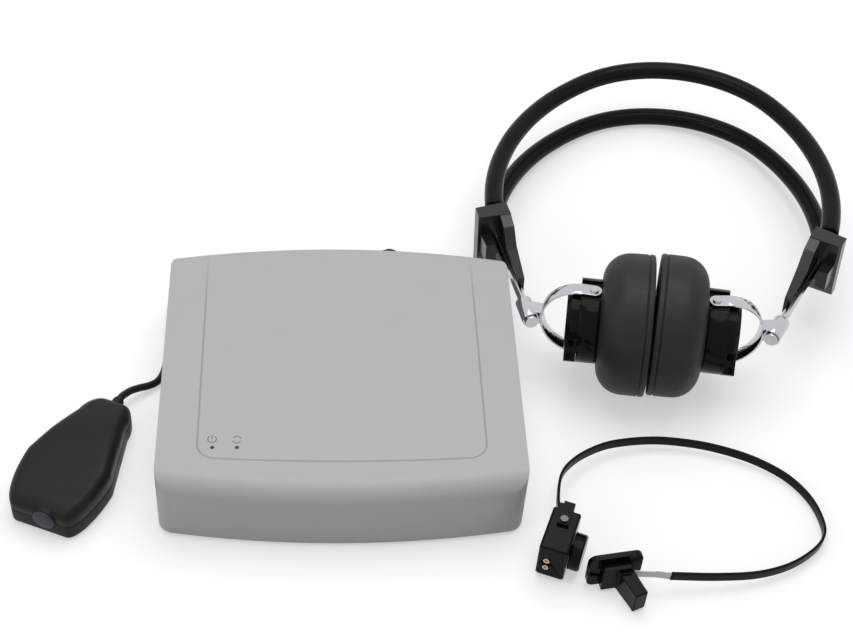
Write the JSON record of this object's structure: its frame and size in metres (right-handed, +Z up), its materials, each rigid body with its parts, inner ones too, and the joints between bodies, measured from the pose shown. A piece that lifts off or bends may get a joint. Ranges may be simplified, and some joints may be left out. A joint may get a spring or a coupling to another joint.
{
  "type": "audiometer",
  "caption": "Table audiometer with a rear socket bay, a push-button handpiece on a hanked cord, a yoke-hung earphone headset and a bone-conduction headset.",
  "frame": {"origin": "on the table under the centre of the unit", "axes": "+X to the right as the unit faces its user, +Y away from the user, +Z up"},
  "size_m": [0.3962, 0.3319, 0.069],
  "materials": {
    "top_cover": "satin",
    "base_plate": "matte",
    "rear_panel": "matte",
    "rubber_feet": "matte",
    "cover_screws": "satin",
    "circuit_board": "satin",
    "board_chips": "satin",
    "light_pipes": "polished",
    "jack_sockets": "satin",
    "usb_socket": "satin",
    "handpiece_top": "soft-touch",
    "handpiece_base": "soft-touch",
    "response_button": "matte",
    "button_spring": "bright",
    "response_switch": "matte",
    "cord_grommet": "matte",
    "handpiece_screws": "satin",
    "response_cord": "satin",
    "cord_hank": "satin",
    "cord_tail": "satin",
    "cord_tie": "matte",
    "response_plug": "satin",
    "upper_sleeve": "gloss",
    "lower_sleeve": "gloss",
    "spring_rods": "bright",
    "left_bracket": "satin",
    "left_rod": "polished",
    "left_block": "polished",
    "left_yoke": "polished",
    "left_pivots": "polished",
    "left_housing": "gloss",
    "left_driver": "matte",
    "left_grille": "matte",
    "left_cushion": "matte",
    "right_bracket": "satin",
    "right_rod": "polished",
    "right_block": "polished",
    "right_yoke": "polished",
    "right_pivots": "polished",
    "right_housing": "gloss",
    "right_driver": "matte",
    "right_grille": "matte",
    "right_cushion": "matte",
    "bone_sleeve": "gloss",
    "bone_strip": "satin",
    "bone_fork": "gloss",
    "fork_screws": "satin",
    "vibrator_case": "gloss",
    "vibrator_lid": "gloss",
    "vibrator_core": "satin",
    "contact_disc": "gloss",
    "pin_sleeves": "satin",
    "pad_slider": "gloss",
    "temple_pad": "gloss"
  },
  "bodies": {
    "unit": {"top_cover": "top_cover", "base_plate": "base_plate", "rear_panel": "rear_panel", "rubber_feet": "rubber_feet", "cover_screws": "cover_screws", "circuit_board": "circuit_board", "board_chips": "board_chips", "light_pipes": "light_pipes", "jack_sockets": "jack_sockets", "usb_socket": "usb_socket", "handpiece_top": "handpiece_top", "handpiece_base": "handpiece_base", "button_spring": "button_spring", "response_switch": "response_switch", "cord_grommet": "cord_grommet", "handpiece_screws": "handpiece_screws", "response_cord": "response_cord", "cord_hank": "cord_hank", "cord_tail": "cord_tail", "cord_tie": "cord_tie", "response_plug": "response_plug"},
    "button": {"response_button": "response_button"},
    "headset": {"upper_sleeve": "upper_sleeve", "lower_sleeve": "lower_sleeve", "spring_rods": "spring_rods", "left_bracket": "left_bracket"},
    "right_side": {"right_bracket": "right_bracket"},
    "bone_band": {"bone_sleeve": "bone_sleeve", "bone_fork": "bone_fork", "fork_screws": "fork_screws"},
    "vibrator": {"vibrator_case": "vibrator_case", "vibrator_lid": "vibrator_lid", "vibrator_core": "vibrator_core", "contact_disc": "contact_disc", "pin_sleeves": "pin_sleeves"},
    "bone_arm": {"bone_strip": "bone_strip"},
    "slider": {"pad_slider": "pad_slider", "temple_pad": "temple_pad"},
    "left_slide": {"left_rod": "left_rod"},
    "left_fork": {"left_block": "left_block", "left_yoke": "left_yoke", "left_pivots": "left_pivots"},
    "left_cup": {"left_housing": "left_housing", "left_driver": "left_driver", "left_grille": "left_grille", "left_cushion": "left_cushion"},
    "right_slide": {"right_rod": "right_rod"},
    "right_fork": {"right_block": "right_block", "right_yoke": "right_yoke", "right_pivots": "right_pivots"},
    "right_cup": {"right_housing": "right_housing", "right_driver": "right_driver", "right_grille": "right_grille", "right_cushion": "right_cushion"}
  },
  "joints": [
    {"name": "button_press", "type": "slide", "parent": "unit", "child": "button", "axis": [0.3843, 0.9232, 0], "range_m": [0, 0.002], "stiffness_N_per_m": 250, "springref_m": -0.001, "deforming": ["button_spring"]},
    {"name": "headset_lift", "type": "slide", "parent": "unit", "child": "headset", "axis": [0, 0, 1], "range_m": [0, 0.15]},
    {"name": "headband_spread", "type": "hinge", "parent": "headset", "child": "right_side", "pos_m": [0.18771, 0.21371, 0.02101], "axis": [-0.0363, 0.0789, 0.9962], "range_deg": [0, 25], "stiffness_Nm_per_rad": 2.2, "deforming": ["upper_sleeve", "lower_sleeve", "spring_rods"]},
    {"name": "bone_lift", "type": "slide", "parent": "unit", "child": "bone_band", "axis": [0, 0, 1], "range_m": [0, 0.12]},
    {"name": "vibrator_tilt", "type": "hinge", "parent": "bone_band", "child": "vibrator", "pos_m": [0.09486, -0.07792, 0.0116], "axis": [0, 0, 1], "range_deg": [0, 20]},
    {"name": "bone_spread", "type": "hinge", "parent": "bone_band", "child": "bone_arm", "pos_m": [0.214, -0.068, 0.0085], "axis": [0, 0, 1], "range_deg": [0, 25], "stiffness_Nm_per_rad": 1.2, "deforming": ["bone_sleeve"]},
    {"name": "pad_slide", "type": "slide", "parent": "bone_arm", "child": "slider", "axis": [0.9991, -0.0431, 0], "range_m": [0, 0.009]},
    {"name": "left_length", "type": "slide", "parent": "headset", "child": "left_slide", "axis": [-0.1808, 0.9799, -0.0842], "range_m": [-0.01, 0.008]},
    {"name": "left_yoke_turn", "type": "hinge", "parent": "left_slide", "child": "left_fork", "pos_m": [0.08821, 0.03761, 0.03133], "axis": [-0.1808, 0.9799, -0.0842], "range_deg": [-15, 15]},
    {"name": "left_cup_tilt", "type": "hinge", "parent": "left_fork", "child": "left_cup", "pos_m": [0.11771, 0.03004, 0.033], "axis": [-0.0363, 0.0789, 0.9962], "range_deg": [-10, 10], "deforming": ["left_cushion"]},
    {"name": "right_length", "type": "slide", "parent": "right_side", "child": "right_slide", "axis": [0.5381, 0.8416, -0.047], "range_m": [-0.01, 0.008]},
    {"name": "right_yoke_turn", "type": "hinge", "parent": "right_slide", "child": "right_fork", "pos_m": [0.2038, 0.02096, 0.03686], "axis": [0.5381, 0.8416, -0.047], "range_deg": [-15, 15]},
    {"name": "right_cup_tilt", "type": "hinge", "parent": "right_fork", "child": "right_cup", "pos_m": [0.17333, 0.02139, 0.03571], "axis": [-0.0363, 0.0789, 0.9962], "range_deg": [-10, 10], "deforming": ["right_cushion"]}
  ]
}
